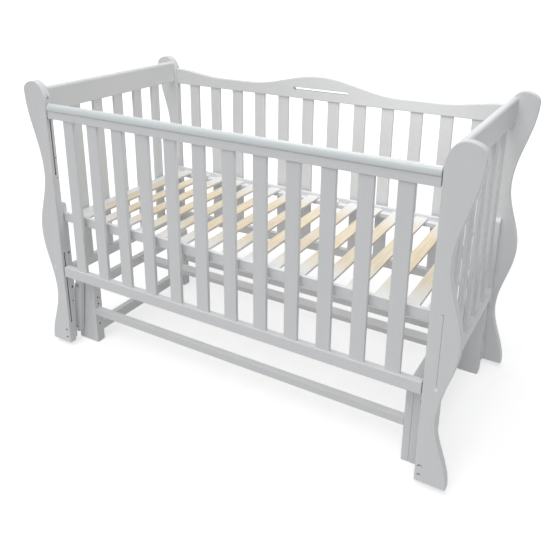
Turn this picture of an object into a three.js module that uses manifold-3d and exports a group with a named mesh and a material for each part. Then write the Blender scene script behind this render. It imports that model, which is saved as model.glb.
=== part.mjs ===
// Rocking crib: a slatted crib with a drop side, hung by four links from a low base that stands
// on the floor. Millimetres, +Z up, +X along the crib, the drop side faces -Y, z = 0 is the floor.
import * as THREE from "three";
import { mergeVertices } from "three/addons/utils/BufferGeometryUtils.js";
import Module from "manifold-3d";

const wasm = await Module();
wasm.setup();

// Clearances
const fitGap = 0.3; // between pieces that are glued or screwed together
const passGap = 2; // between pieces that swing past each other
const sideGap = 3; // from each end of the drop side to its post
const pinGap = 0.5; // round a guide pin in its groove
const pivotGap = 0.3; // round a pivot bolt
const loosePivotGap = 1.3; // round the foot pivots that take up the swing's small error
const tenonGap = 0.4; // round a slat's tenon

// Sleeping space and height over the floor
const innerLength = 1210; // between the end panels
const innerWidth = 600; // between the drop side and the back panel
const groundGap = 15; // floor to the posts' feet

// Wavy posts: widths are measured from the straight inner edge, heights from the foot
const postThickness = 25;
const postReveal = 8; // the straight edge stands this far inside the end panel's face
const postEase = 2.5;
const crownHeight = 881; // the rails and the head keep their places under it
const crownOffset = 44;
const footWidth = 79.5;
const lowWaistHeight = 190;
const lowWaistWidth = 38;
const bellyHeight = 400;
const bellyWidth = 77.5;
const highWaistHeight = 597;
const highWaistWidth = 38;
const headUnderCrown = 29;
const headWidth = 87;
const shoulderUnderCrown = 63;
const waveSteps = 8;
const crownSteps = 7;

// Front and back panels
const panelThickness = 20;
const panelRailEase = 3;
const topRailEase = 1.5;
const slatWidth = 40;
const slatThickness = 12;
const slatEase = 3;
const slatCount = 12;
const slatEndMargin = 56; // from a rail's end to its first slat
const slatRoot = 6; // how deep a slat is glued into the low rail
const tenonWidth = 30;
const tenonThickness = 8;
const tenonLength = 10;

// Drop side
const dropLowRailBottom = 248;
const dropLowRailHeight = 35;
const dropTopRailUnderCrown = 109;
const dropTopRailHeight = 24.5;
const capHeight = 20.5;
const capOverhang = 3;
const capChamfer = 1;
const capSteps = 14;
const dropTravel = 190;
const pinRadius = 3;
const pinReach = 8; // how far a guide pin enters its groove
const grooveFloorGap = 1.5; // from a pin's end to the groove's floor
const entryRise = 62; // a low pin is brought in through a round pocket this far over its rest
const pocketRadius = 6;

// Back panel
const backLowRailBottom = 237;
const backLowRailHeight = 31;
const crestUnderCrown = 19;
const backTopRailDepth = 79; // from the crest down to the rail's straight underside
const saddleUnderCrest = 42;
const railEndUnderCrest = 24;
const crestHalfLength = 275;
const saddleHalfLength = 400;
const crestSteps = 10;
const slotLength = 204;
const slotHeight = 9;
const slotRound = 4.4; // radius of the slot's corners
const slotUnderCrest = 42;

// End panels
const endRailThickness = 22;
const endTopRailUnderCrown = 90;
const endTopRailHeight = 73;
const endTopRailEase = 2;
const endTopRailRound = 9;
const endLowRailBottom = 237;
const endLowRailHeight = 31;
const endSlatCount = 5;
const endSlatPitch = 96;

// Battens behind the posts, which carry the bed and the foot pivots
const battenReveal = 3.5; // the batten's face stands this far inside the end panel's face
const battenWidth = 22;
const battenDepth = 20;
const battenTop = 495;
const battenRound = 13;
const battenFoot = 8;
const tongueDepth = 10; // the batten thins to a tongue at the foot
const tongueTop = 62;
const taperTop = 215;
const bedBoltRadius = 4;
const bedBoltHeights = [195, 320];
const battenPilotRadius = 2.5;
const battenPilotHeight = 145;

// Bed
const bedRailBottom = 432;
const bedRailHeight = 30;
const bedRailWidth = 30;
const bedRimWidth = 12;
const bedLedgeHeight = 14;
const bedSideGap = 7.5; // from the bed to the drop side and to the back panel
const bedSlatCount = 15;
const bedSlatWidth = 38;
const bedSlatThickness = 8;
const bedSlatEndMargin = 14;
const bedEase = 1.5;

// Swing base: heights are measured from the floor
const baseHeight = 231;
const legWidth = 62;
const legDepth = 32;
const legEase = 1.5;
const legCorner = 5;
const legTopCorner = 3.5;
const uprightWidth = 20;
const uprightInset = 37; // from the straight edge of the posts in to the uprights' outer face
const crossLowBottom = 37;
const crossLowHeight = 36;
const crossHighHeight = 32;
const barBottom = 107;
const barHeight = 23;
const barDepth = 22;
const stretcherUnderTop = 9; // from the base's top down to the stretcher
const stretcherHeight = 16;
const stretcherDepth = 40;
const legHoleRadius = 3.5;
const legHoleDepth = 10;
const legHoleHeights = [66, 141, 165];

// Links and pivots
const linkWidth = 29;
const linkThickness = 18;
const linkEase = 2;
const linkArcSteps = 6;
const pivotUnderTop = 21; // from the base's top down to the upper pivots
const footPivotHeight = 30; // lower pivot over the post's foot
const boltRadius = 4;
const boltHeadRadius = 7;
const boltHeadHeight = 4;
const boltRecess = 0.8; // bolt heads and nuts lie this deep in the link's face
const headGap = 0.6; // round a bolt head in its recess, and behind it
const boltSeat = 20; // length of the bolt in the leg
const collarRadius = 9;

// Small fittings on the posts
const screwRadius = 2.2;
const screwDepth = 8;
const footScrewHeights = [19, 46];
const footScrewInset = 12; // from the post's straight edge
const screwCapRadius = 5.5;
const screwCapRise = 1.2;
const screwCapOffset = 33;
const screwCapUnderBelly = 125;
const ringRadius = 6.5;
const ringRise = 1.2;
const ringRoot = 6;
const ringHoleRadius = 2.5;
const ringHoleDepth = 4;
const ringUnderCrown = 47;
const edgeHoleRadius = 2;
const edgeHoleDepth = 6;
const edgeHoleSpots = [
  [-7, 109],
  [6, 235],
  [6, 300],
]; // across the post's edge, then down from the crown
const sink = 1; // how far joined shapes run into each other

// Places worked out from the sizes above
const headHeight = crownHeight - headUnderCrown;
const shoulderHeight = crownHeight - shoulderUnderCrown;
const dropTopRailBottom = crownHeight - dropTopRailUnderCrown;
const crestHeight = crownHeight - crestUnderCrown;
const backTopRailBottom = crestHeight - backTopRailDepth;
const saddleHeight = crestHeight - saddleUnderCrest;
const railEndHeight = crestHeight - railEndUnderCrest;
const slotTop = crestHeight - slotUnderCrest;
const endTopRailBottom = crownHeight - endTopRailUnderCrown;
const stretcherTop = baseHeight - stretcherUnderTop;
const pivotHeight = baseHeight - pivotUnderTop;
const screwCapHeight = bellyHeight - screwCapUnderBelly;
const ringHeight = crownHeight - ringUnderCrown;
const endFaceX = innerLength / 2;
const postEdgeX = endFaceX - postReveal;
const postCentreY = (innerWidth + panelThickness) / 2;
const postBackY = postCentreY - postThickness / 2;
const battenFaceX = endFaceX - battenReveal;
const battenCentreX = battenFaceX + battenWidth / 2;
const battenFrontY = postBackY - fitGap;
const battenBackY = battenFrontY - battenDepth;
const linkFrontY = battenBackY - passGap;
const linkBackY = linkFrontY - linkThickness;
const legFrontY = linkBackY - passGap;
const legCentreY = legFrontY - legDepth / 2;
const legBackY = legFrontY - legDepth;
const uprightOuterX = postEdgeX - uprightInset;
const uprightInnerX = uprightOuterX - uprightWidth;
const uprightCentreX = uprightOuterX - uprightWidth / 2;
const legCentreX = uprightOuterX + fitGap + legWidth / 2;
const slatPlaneX = endFaceX + endRailThickness / 2;
const dropHalfLength = postEdgeX - sideGap;
const backHalfLength = postEdgeX - fitGap;
const lowPinHeight = dropLowRailBottom + dropLowRailHeight / 2;
const highPinHeight = dropTopRailBottom + dropTopRailHeight / 2;
const grooveHalfWidth = pinRadius + pinGap;
const grooveDepth = pinReach - sideGap + grooveFloorGap;
const linkLean = battenCentreX - legCentreX;
const linkDrop = pivotHeight - groundGap - footPivotHeight;
const linkLength = Math.hypot(linkLean, linkDrop);
const linkAngle = Math.atan2(linkLean, linkDrop);
const bedHalfLength = battenFaceX - fitGap;
const bedHalfWidth = innerWidth / 2 - bedSideGap;
const bedSlatBottom = bedRailBottom + bedLedgeHeight + fitGap;
const bedSlatHalfLength = bedHalfWidth - bedRimWidth - fitGap;

// Finishes
const whitePaint = () => new THREE.MeshStandardMaterial({ color: 0xe9e9ea, roughness: 0.45, metalness: 0 });
const glossPaint = () => new THREE.MeshStandardMaterial({ color: 0xe4e8ec, roughness: 0.2, metalness: 0 });
const bareWood = () => new THREE.MeshStandardMaterial({ color: 0xdcbf95, roughness: 0.65, metalness: 0 });
const zincSteel = () => new THREE.MeshStandardMaterial({ color: 0xb9bcc0, roughness: 0.35, metalness: 0.9 });

// The four corners: name, side along X and side along Y
const corners = [
  ["front_left", -1, -1],
  ["front_right", 1, -1],
  ["back_left", -1, 1],
  ["back_right", 1, 1],
];
const ends = [
  ["left", -1],
  ["right", 1],
];

// Geometry to solid and back
function solidOf(geometry) {
  const loose = geometry.index ? geometry.toNonIndexed() : geometry.clone();
  loose.deleteAttribute("normal");
  loose.deleteAttribute("uv");
  const welded = mergeVertices(loose, 1e-4);
  return new wasm.Manifold(
    new wasm.Mesh({
      numProp: 3,
      vertProperties: welded.attributes.position.array,
      triVerts: new Uint32Array(welded.index.array),
    }),
  );
}

function geometryOf(solid) {
  const { vertProperties, triVerts } = solid.getMesh();
  const geometry = new THREE.BufferGeometry();
  geometry.setAttribute("position", new THREE.BufferAttribute(new Float32Array(vertProperties), 3));
  geometry.setIndex(new THREE.BufferAttribute(new Uint32Array(triVerts), 1));
  return geometry;
}

function joined(...geometries) {
  return geometryOf(geometries.map(solidOf).reduce((whole, next) => whole.add(next)));
}

function cut(geometry, ...tools) {
  return geometryOf(tools.map(solidOf).reduce((whole, tool) => whole.subtract(tool), solidOf(geometry)));
}

// The same piece on the other side of the crib, with its faces turned back outwards
function mirrored(geometry, sideX, sideY) {
  const turned = geometry.clone().scale(sideX, sideY, 1);
  if (sideX * sideY < 0) {
    const corner = turned.index.array;
    for (let i = 0; i < corner.length; i += 3) {
      [corner[i + 1], corner[i + 2]] = [corner[i + 2], corner[i + 1]];
    }
  }
  return turned;
}

// A shape drawn in two directions of space and pushed along the third, centred on its length
const unit = { x: new THREE.Vector3(1, 0, 0), y: new THREE.Vector3(0, 1, 0), z: new THREE.Vector3(0, 0, 1) };
const turns = { x: ["y", "z", "x"], y: ["z", "x", "y"], z: ["x", "y", "z"] };
const arcSteps = 2;

function pushed(shape, axis, length, curveSegments = arcSteps) {
  const geometry = new THREE.ExtrudeGeometry(shape, {
    depth: length,
    bevelEnabled: false,
    curveSegments,
  });
  geometry.translate(0, 0, -length / 2);
  const basis = new THREE.Matrix4().makeBasis(...turns[axis].map((name) => unit[name]));
  return geometry.applyMatrix4(basis);
}

function roundedRectangle(width, height, lowRadius, highRadius = lowRadius) {
  const [right, top] = [width / 2, height / 2];
  const shape = new THREE.Shape();
  shape.moveTo(-right + lowRadius, -top);
  shape.lineTo(right - lowRadius, -top);
  if (lowRadius > 0) shape.absarc(right - lowRadius, -top + lowRadius, lowRadius, -Math.PI / 2, 0);
  shape.lineTo(right, top - highRadius);
  if (highRadius > 0) shape.absarc(right - highRadius, top - highRadius, highRadius, 0, Math.PI / 2);
  shape.lineTo(-right + highRadius, top);
  if (highRadius > 0) shape.absarc(-right + highRadius, top - highRadius, highRadius, Math.PI / 2, Math.PI);
  shape.lineTo(-right, -top + lowRadius);
  if (lowRadius > 0) shape.absarc(-right + lowRadius, -top + lowRadius, lowRadius, Math.PI, 1.5 * Math.PI);
  return shape;
}

// A straight board with its long edges eased, centred on the origin
function board(axis, [sizeX, sizeY, sizeZ], ease, steps = arcSteps) {
  const size = { x: sizeX, y: sizeY, z: sizeZ };
  const [across, up, along] = turns[axis];
  return pushed(roundedRectangle(size[across], size[up], ease), axis, size[along], steps);
}

// A board cut to an outline in its XZ plane and eased all round, centred on its thickness
function outlinedBoard(shape, thickness, ease, curveSegments, bevelSegments = 2) {
  const geometry = new THREE.ExtrudeGeometry(shape, {
    depth: thickness - 2 * ease,
    bevelEnabled: true,
    bevelThickness: ease,
    bevelSize: ease,
    bevelOffset: -ease,
    bevelSegments,
    curveSegments,
  });
  geometry.translate(0, 0, ease - thickness / 2);
  return geometry.rotateX(Math.PI / 2);
}

function rod(axis, radius, length, sides = 12) {
  const geometry = new THREE.CylinderGeometry(radius, radius, length, sides);
  if (axis === "x") return geometry.rotateZ(Math.PI / 2);
  if (axis === "z") return geometry.rotateX(Math.PI / 2);
  return geometry;
}

function box(sizeX, sizeY, sizeZ) {
  return new THREE.BoxGeometry(sizeX, sizeY, sizeZ);
}

// Points of a smooth S between neighbouring [place, size] pairs
function swept(bends, steps) {
  const points = [bends[0]];
  for (let bend = 1; bend < bends.length; bend++) {
    const [startPlace, startSize] = bends[bend - 1];
    const [endPlace, endSize] = bends[bend];
    for (let step = 1; step <= steps; step++) {
      const share = step / steps;
      const swing = (1 - Math.cos(Math.PI * share)) / 2;
      points.push([startPlace + (endPlace - startPlace) * share, startSize + (endSize - startSize) * swing]);
    }
  }
  return points;
}

const slatCentres = (count, pitch) => Array.from({ length: count }, (_, i) => (i - (count - 1) / 2) * pitch);

const group = new THREE.Group();
const base = new THREE.Group();
const crib = new THREE.Group();
crib.position.z = groundGap;
group.add(base, crib);

function place(parent, name, geometry, material, x = 0, y = 0, z = 0) {
  const mesh = new THREE.Mesh(geometry, material);
  mesh.name = name;
  mesh.position.set(x, y, z);
  parent.add(mesh);
  return mesh;
}

// Posts, made for the front left corner turned to face +X outwards and -Y to the front
function postOutline() {
  const wave = swept(
    [
      [0, footWidth],
      [lowWaistHeight, lowWaistWidth],
      [bellyHeight, bellyWidth],
      [highWaistHeight, highWaistWidth],
      [headHeight, headWidth],
    ],
    waveSteps,
  );
  const shape = new THREE.Shape();
  shape.moveTo(0, 0);
  wave.forEach(([height, width]) => shape.lineTo(width, height));
  shape.absellipse(crownOffset, headHeight, headWidth - crownOffset, headUnderCrown, 0, Math.PI / 2);
  shape.absellipse(crownOffset, shoulderHeight, crownOffset, shoulderUnderCrown, Math.PI / 2, Math.PI);
  return shape;
}

// One groove for a guide pin, cut into the post's straight edge, with round ends
function groove(bottom, top) {
  const length = top - bottom;
  const slot = box(2 * grooveDepth, 2 * grooveHalfWidth, length).translate(0, 0, bottom + length / 2);
  const lowEnd = rod("x", grooveHalfWidth, 2 * grooveDepth).translate(0, 0, bottom);
  const highEnd = rod("x", grooveHalfWidth, 2 * grooveDepth).translate(0, 0, top);
  return joined(slot, lowEnd, highEnd);
}

function pocket(height) {
  return rod("x", pocketRadius, 2 * grooveDepth).translate(0, 0, height);
}

function postGeometry(hasGrooves) {
  const faceY = -postThickness / 2;
  const body = outlinedBoard(postOutline(), postThickness, postEase, crownSteps);
  const cap = rod("y", screwCapRadius, 2 * screwCapRise, 16).translate(screwCapOffset, faceY, screwCapHeight);
  const holes = footScrewHeights.map((height) =>
    rod("y", screwRadius, 2 * screwDepth, 8).translate(footScrewInset, faceY, height),
  );
  if (!hasGrooves) return cut(joined(body, cap), ...holes);
  const ring = rod("x", ringRadius, ringRise + ringRoot, 16);
  ring.translate((ringRoot - ringRise) / 2, 0, ringHeight);
  holes.push(rod("x", ringHoleRadius, 2 * ringHoleDepth, 10).translate(0, 0, ringHeight));
  holes.push(groove(highPinHeight - dropTravel, highPinHeight));
  holes.push(pocket(highPinHeight - dropTravel));
  holes.push(groove(lowPinHeight - dropTravel, lowPinHeight + entryRise));
  holes.push(pocket(lowPinHeight + entryRise));
  edgeHoleSpots.forEach(([across, drop]) => {
    holes.push(rod("x", edgeHoleRadius, 2 * edgeHoleDepth, 8).translate(0, across, crownHeight - drop));
  });
  return cut(joined(body, cap, ring), ...holes);
}

for (const [corner, sideX, sideY] of corners) {
  const geometry = mirrored(postGeometry(sideY < 0), sideX, -sideY);
  place(crib, "post_" + corner, geometry, whitePaint(), sideX * postEdgeX, sideY * postCentreY, 0);
}

// Battens, drawn in the YZ plane: y = 0 lies against the post and +y goes in under the crib
function battenGeometry() {
  const outline = new THREE.Shape();
  outline.moveTo(0, battenFoot);
  outline.lineTo(tongueDepth, battenFoot);
  outline.lineTo(tongueDepth, tongueTop);
  outline.lineTo(battenDepth, taperTop);
  outline.lineTo(battenDepth, battenTop - battenRound);
  outline.absarc(battenDepth - battenRound, battenTop - battenRound, battenRound, 0, Math.PI / 2);
  outline.lineTo(0, battenTop);
  const stick = pushed(outline, "x", battenWidth);
  const collarEnd = battenDepth + passGap - pivotGap;
  const pinEnd = battenDepth + passGap + linkThickness - boltRecess;
  const nutStart = pinEnd - boltHeadHeight;
  const collar = rod("y", collarRadius, collarEnd - tongueDepth + sink, 16);
  collar.translate(0, (collarEnd + tongueDepth - sink) / 2, footPivotHeight);
  const pin = rod("y", boltRadius, pinEnd - tongueDepth);
  pin.translate(0, (pinEnd + tongueDepth) / 2, footPivotHeight);
  const nut = rod("y", boltHeadRadius, boltHeadHeight, 6);
  nut.translate(0, (pinEnd + nutStart) / 2, footPivotHeight);
  const holes = bedBoltHeights.map((height) =>
    rod("x", bedBoltRadius, battenWidth + 2 * sink).translate(0, battenDepth / 2, height),
  );
  const pilot = rod("x", battenPilotRadius, battenWidth + 2 * sink, 10);
  holes.push(pilot.translate(0, tongueDepth / 2 + sink, battenPilotHeight));
  return joined(cut(stick, ...holes), collar, pin, nut);
}

for (const [corner, sideX, sideY] of corners) {
  const geometry = mirrored(battenGeometry(), sideX, -sideY);
  place(crib, "batten_" + corner, geometry, whitePaint(), sideX * battenCentreX, sideY * battenFrontY, 0);
}

// A low rail with its slats and their tenons. Slats stand across the panel's own X.
function slattedPanel(railLength, railSize, centres, slatTop) {
  const [railThickness, railHeight, ease] = railSize;
  const rail = board("x", [railLength, railThickness, railHeight], ease).translate(0, 0, railHeight / 2);
  const slatLength = slatTop - railHeight + slatRoot;
  const parts = [rail];
  for (const centre of centres) {
    const slat = board("z", [slatWidth, slatThickness, slatLength], slatEase, 1);
    parts.push(slat.translate(centre, 0, slatTop - slatLength / 2));
    const tenon = box(tenonWidth, tenonThickness, tenonLength + sink);
    parts.push(tenon.translate(centre, 0, slatTop + (tenonLength - sink) / 2));
  }
  return joined(...parts);
}

// Mortises in the underside of a top rail, at the slats' centres
function mortises(centres, bottom) {
  const depth = tenonLength + tenonGap + sink;
  return centres.map((centre) =>
    box(tenonWidth + 2 * tenonGap, tenonThickness + 2 * tenonGap, depth).translate(
      centre,
      0,
      bottom + depth / 2 - sink,
    ),
  );
}

const spread = (railLength) => {
  const pitch = (railLength - 2 * slatEndMargin - slatWidth) / (slatCount - 1);
  return slatCentres(slatCount, pitch);
};

// Drop side: a low rail with slats, a flat top rail and a half-round cap, with pins in the grooves
const dropSide = new THREE.Group();
dropSide.position.y = -postCentreY;
crib.add(dropSide);

function withPins(geometry, height) {
  const reach = pinReach + sink;
  const pins = [-1, 1].map((side) =>
    rod("x", pinRadius, reach).translate(side * (dropHalfLength - sink + reach / 2), 0, height),
  );
  return joined(geometry, ...pins);
}

const dropCentres = spread(2 * dropHalfLength);
const dropPanel = slattedPanel(
  2 * dropHalfLength,
  [panelThickness, dropLowRailHeight, panelRailEase],
  dropCentres,
  dropTopRailBottom - dropLowRailBottom - fitGap,
);
place(
  dropSide,
  "drop_side_panel",
  withPins(dropPanel, dropLowRailHeight / 2),
  whitePaint(),
  0,
  0,
  dropLowRailBottom,
);

const dropTopRail = board("x", [2 * dropHalfLength, panelThickness, dropTopRailHeight], topRailEase);
dropTopRail.translate(0, 0, dropTopRailHeight / 2);
place(
  dropSide,
  "drop_side_top_rail",
  withPins(cut(dropTopRail, ...mortises(dropCentres, 0)), dropTopRailHeight / 2),
  whitePaint(),
  0,
  0,
  dropTopRailBottom,
);

function capOutline() {
  const halfWidth = panelThickness / 2 + capOverhang;
  const rise = capHeight - capOverhang;
  const shape = new THREE.Shape();
  shape.moveTo(-halfWidth + capChamfer, 0);
  shape.lineTo(halfWidth - capChamfer, 0);
  shape.lineTo(halfWidth, capChamfer);
  shape.absellipse(0, capOverhang, halfWidth, rise, 0, Math.PI);
  shape.lineTo(-halfWidth, capChamfer);
  return shape;
}

function capGeometry() {
  const geometry = new THREE.ExtrudeGeometry(capOutline(), {
    depth: 2 * dropHalfLength,
    bevelEnabled: false,
    curveSegments: capSteps,
  });
  geometry.translate(0, 0, -dropHalfLength);
  return geometry.applyMatrix4(new THREE.Matrix4().makeBasis(unit.y, unit.z, unit.x));
}

const capBottom = dropTopRailBottom + dropTopRailHeight + fitGap;
place(dropSide, "drop_side_cap", capGeometry(), glossPaint(), 0, 0, capBottom);

// Back panel: its top rail rises to a crest in the middle, with a long slot through it
function backTopOutline() {
  const half = swept(
    [
      [0, crestHeight],
      [crestHalfLength, saddleHeight],
      [saddleHalfLength, saddleHeight],
      [backHalfLength, railEndHeight],
    ],
    crestSteps,
  ).filter(([along]) => along <= crestHalfLength || along >= saddleHalfLength);
  const shape = new THREE.Shape();
  shape.moveTo(-backHalfLength, backTopRailBottom);
  shape.lineTo(backHalfLength, backTopRailBottom);
  [...half].reverse().forEach(([along, height]) => shape.lineTo(along, height));
  half.slice(1).forEach(([along, height]) => shape.lineTo(-along, height));
  return shape;
}

function backSlot() {
  const outline = roundedRectangle(slotLength, slotHeight, slotRound);
  const slot = pushed(outline, "z", panelThickness + 2 * sink).rotateX(Math.PI / 2);
  return slot.translate(0, 0, slotTop - slotHeight / 2);
}

const backCentres = spread(2 * backHalfLength);
const backTopRail = cut(
  outlinedBoard(backTopOutline(), panelThickness, panelRailEase, crestSteps),
  backSlot(),
  ...mortises(backCentres, backTopRailBottom),
);
place(crib, "back_top_rail", backTopRail, whitePaint(), 0, postCentreY, 0);

const backPanel = slattedPanel(
  2 * backHalfLength,
  [panelThickness, backLowRailHeight, panelRailEase],
  backCentres,
  backTopRailBottom - backLowRailBottom - fitGap,
);
place(crib, "back_panel", backPanel, whitePaint(), 0, postCentreY, backLowRailBottom);

// End panels: top rails between the posts, low rails with slats between the battens
const endCentres = slatCentres(endSlatCount, endSlatPitch);
const endTopLength = 2 * (postBackY - fitGap);
const endLowLength = 2 * (battenBackY - fitGap);
const quarterTurn = Math.PI / 2;

for (const [end, sideX] of ends) {
  const section = roundedRectangle(endRailThickness, endTopRailHeight, endTopRailEase, endTopRailRound);
  const rail = pushed(section, "z", endTopLength).rotateX(quarterTurn).translate(0, 0, endTopRailHeight / 2);
  const sockets = mortises(endCentres, 0).map((socket) => socket.rotateZ(quarterTurn));
  place(
    crib,
    "end_top_rail_" + end,
    cut(rail, ...sockets),
    whitePaint(),
    sideX * slatPlaneX,
    0,
    endTopRailBottom,
  );
  const panel = slattedPanel(
    endLowLength,
    [endRailThickness, endLowRailHeight, panelRailEase],
    endCentres,
    endTopRailBottom - endLowRailBottom - fitGap,
  );
  place(
    crib,
    "end_panel_" + end,
    panel.rotateZ(quarterTurn),
    whitePaint(),
    sideX * slatPlaneX,
    0,
    endLowRailBottom,
  );
}

// Bed: side rails with a ledge for the slats, end rails between them and loose wooden slats
function bedSideRail() {
  const outline = new THREE.Shape();
  outline.moveTo(0, 0);
  outline.lineTo(bedRailWidth, 0);
  outline.lineTo(bedRailWidth, bedLedgeHeight);
  outline.lineTo(bedRimWidth, bedLedgeHeight);
  outline.lineTo(bedRimWidth, bedRailHeight - bedEase);
  outline.absarc(bedRimWidth - bedEase, bedRailHeight - bedEase, bedEase, 0, Math.PI / 2);
  outline.lineTo(bedEase, bedRailHeight);
  outline.absarc(bedEase, bedRailHeight - bedEase, bedEase, Math.PI / 2, Math.PI);
  return pushed(outline, "x", 2 * bedHalfLength);
}

for (const [side, sideY] of [
  ["front", -1],
  ["back", 1],
]) {
  const geometry = mirrored(joined(bedSideRail()), 1, -sideY);
  place(crib, "bed_rail_" + side, geometry, whitePaint(), 0, sideY * bedHalfWidth, bedRailBottom);
}

const bedEndLength = 2 * (bedHalfWidth - bedRailWidth - fitGap);
for (const [end, sideX] of ends) {
  const rail = board("y", [bedRailWidth, bedEndLength, bedLedgeHeight], bedEase);
  const x = sideX * (bedHalfLength - bedRailWidth / 2);
  place(crib, "bed_rail_" + end, rail, whitePaint(), x, 0, bedRailBottom + bedLedgeHeight / 2);
}

const bedInnerLength = 2 * (bedHalfLength - bedRailWidth);
const bedSlatPitch = (bedInnerLength - 2 * bedSlatEndMargin - bedSlatWidth) / (bedSlatCount - 1);
slatCentres(bedSlatCount, bedSlatPitch).forEach((x, i) => {
  const slat = board("y", [bedSlatWidth, 2 * bedSlatHalfLength, bedSlatThickness], bedEase, 1);
  const name = "bed_slat_" + String(i + 1).padStart(2, "0");
  place(crib, name, slat, bareWood(), x, 0, bedSlatBottom + bedSlatThickness / 2);
});

// Swing base: a leg board and an upright at each corner, cross boards, two long bars and a stretcher
function legGeometry() {
  const outline = roundedRectangle(legWidth, baseHeight, legCorner, legTopCorner);
  const body = outlinedBoard(outline, legDepth, legEase, arcSteps, 1).translate(0, 0, baseHeight / 2);
  const hole = rod("y", boltRadius + pivotGap, 2 * (boltSeat + sink));
  return cut(body, hole.translate(0, -legDepth / 2, pivotHeight));
}

function uprightGeometry() {
  const body = board("z", [uprightWidth, legDepth, baseHeight], legEase).translate(0, 0, baseHeight / 2);
  const holes = legHoleHeights.map((height) =>
    rod("x", legHoleRadius, 2 * legHoleDepth, 10).translate(-uprightWidth / 2, 0, height),
  );
  return cut(body, ...holes);
}

for (const [corner, sideX, sideY] of corners) {
  const leg = mirrored(legGeometry(), sideX, -sideY);
  place(base, "base_leg_" + corner, leg, whitePaint(), sideX * legCentreX, sideY * legCentreY, 0);
  const upright = mirrored(uprightGeometry(), sideX, -sideY);
  place(base, "base_upright_" + corner, upright, whitePaint(), sideX * uprightCentreX, sideY * legCentreY, 0);
}

const crossLength = 2 * (legBackY - fitGap);
for (const [end, sideX] of ends) {
  const x = sideX * uprightCentreX;
  const low = board("y", [uprightWidth, crossLength, crossLowHeight], legEase);
  place(base, "base_cross_low_" + end, low, whitePaint(), x, 0, crossLowBottom + crossLowHeight / 2);
  const high = board("y", [uprightWidth, crossLength, crossHighHeight], legEase);
  place(base, "base_cross_high_" + end, high, whitePaint(), x, 0, baseHeight - crossHighHeight / 2);
}

const barLength = 2 * (uprightInnerX - fitGap);
for (const [side, sideY] of [
  ["front", -1],
  ["back", 1],
]) {
  const bar = board("x", [barLength, barDepth, barHeight], legEase);
  const y = sideY * (legFrontY - barDepth / 2);
  place(base, "base_bar_" + side, bar, whitePaint(), 0, y, barBottom + barHeight / 2);
}

const stretcher = board("x", [barLength, stretcherDepth, stretcherHeight], legEase);
place(base, "base_stretcher", stretcher, whitePaint(), 0, 0, stretcherTop - stretcherHeight / 2);

// Links: straight plates that lean outwards to the posts' feet, with the bolt heads let in
function linkGeometry(footGap) {
  const radius = linkWidth / 2;
  const outline = new THREE.Shape();
  outline.absarc(0, 0, radius, 0, Math.PI);
  outline.absarc(0, -linkLength, radius, Math.PI, 2 * Math.PI);
  const plate = outlinedBoard(outline, linkThickness, linkEase, linkArcSteps, 1);
  const recess = boltHeadHeight + boltRecess + headGap;
  const through = linkThickness + 2 * sink;
  return cut(
    plate,
    rod("y", boltRadius + pivotGap, through),
    rod("y", boltHeadRadius + headGap, 2 * recess, 16).translate(0, -linkThickness / 2, 0),
    rod("y", boltRadius + footGap, through).translate(0, 0, -linkLength),
    rod("y", boltHeadRadius + footGap + headGap, 2 * recess, 16).translate(0, linkThickness / 2, -linkLength),
  );
}

// Upper pivot bolts, from the recess in the link into the leg
function boltGeometry() {
  const start = boltRecess;
  const end = linkThickness + passGap + boltSeat;
  const head = rod("y", boltHeadRadius, boltHeadHeight, 16).translate(0, start + boltHeadHeight / 2, 0);
  const shank = rod("y", boltRadius, end - start - sink).translate(0, (end + start + sink) / 2, 0);
  return joined(head, shank);
}

for (const [corner, sideX, sideY] of corners) {
  const gap = corner === "front_left" ? pivotGap : loosePivotGap;
  const link = mirrored(linkGeometry(gap), sideX, -sideY);
  const linkY = sideY * (linkFrontY - linkThickness / 2);
  const mesh = place(group, "link_" + corner, link, whitePaint(), sideX * legCentreX, linkY, pivotHeight);
  mesh.rotation.y = -sideX * linkAngle;
  const bolt = mirrored(boltGeometry(), sideX, -sideY);
  place(base, "pivot_bolt_" + corner, bolt, zincSteel(), sideX * legCentreX, sideY * linkFrontY, pivotHeight);
}

export default group;
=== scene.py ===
import math

import bmesh
import bpy
from mathutils import Matrix, Vector


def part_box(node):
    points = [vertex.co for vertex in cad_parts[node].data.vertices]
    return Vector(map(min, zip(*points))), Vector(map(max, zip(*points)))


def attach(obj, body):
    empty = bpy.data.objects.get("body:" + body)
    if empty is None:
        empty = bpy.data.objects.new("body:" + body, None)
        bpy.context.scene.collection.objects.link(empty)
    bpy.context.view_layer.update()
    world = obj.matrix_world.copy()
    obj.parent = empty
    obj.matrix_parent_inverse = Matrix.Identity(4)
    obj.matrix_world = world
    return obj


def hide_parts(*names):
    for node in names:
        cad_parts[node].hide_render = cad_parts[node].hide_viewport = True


bl_info = {
    "name": "Rocking Crib",
    "version": (1, 0, 0),
    "blender": (4, 5, 0),
    "location": "3D View > Sidebar > Crib",
    "description": "Dresses the packed frame of a painted rocking crib",
    "category": "Object",
}

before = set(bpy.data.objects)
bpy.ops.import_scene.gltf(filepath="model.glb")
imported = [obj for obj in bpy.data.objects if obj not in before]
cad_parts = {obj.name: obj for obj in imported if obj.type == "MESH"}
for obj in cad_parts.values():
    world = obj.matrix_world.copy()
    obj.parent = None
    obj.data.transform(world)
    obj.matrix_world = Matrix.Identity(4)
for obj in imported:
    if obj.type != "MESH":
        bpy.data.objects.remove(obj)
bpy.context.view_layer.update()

MM = 0.001
CORNERS = [("front_left", -1, -1), ("front_right", 1, -1), ("back_left", -1, 1), ("back_right", 1, 1)]
ENDS = [("left", -1), ("right", 1)]
SIDES = [("front", -1), ("back", 1)]

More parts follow.
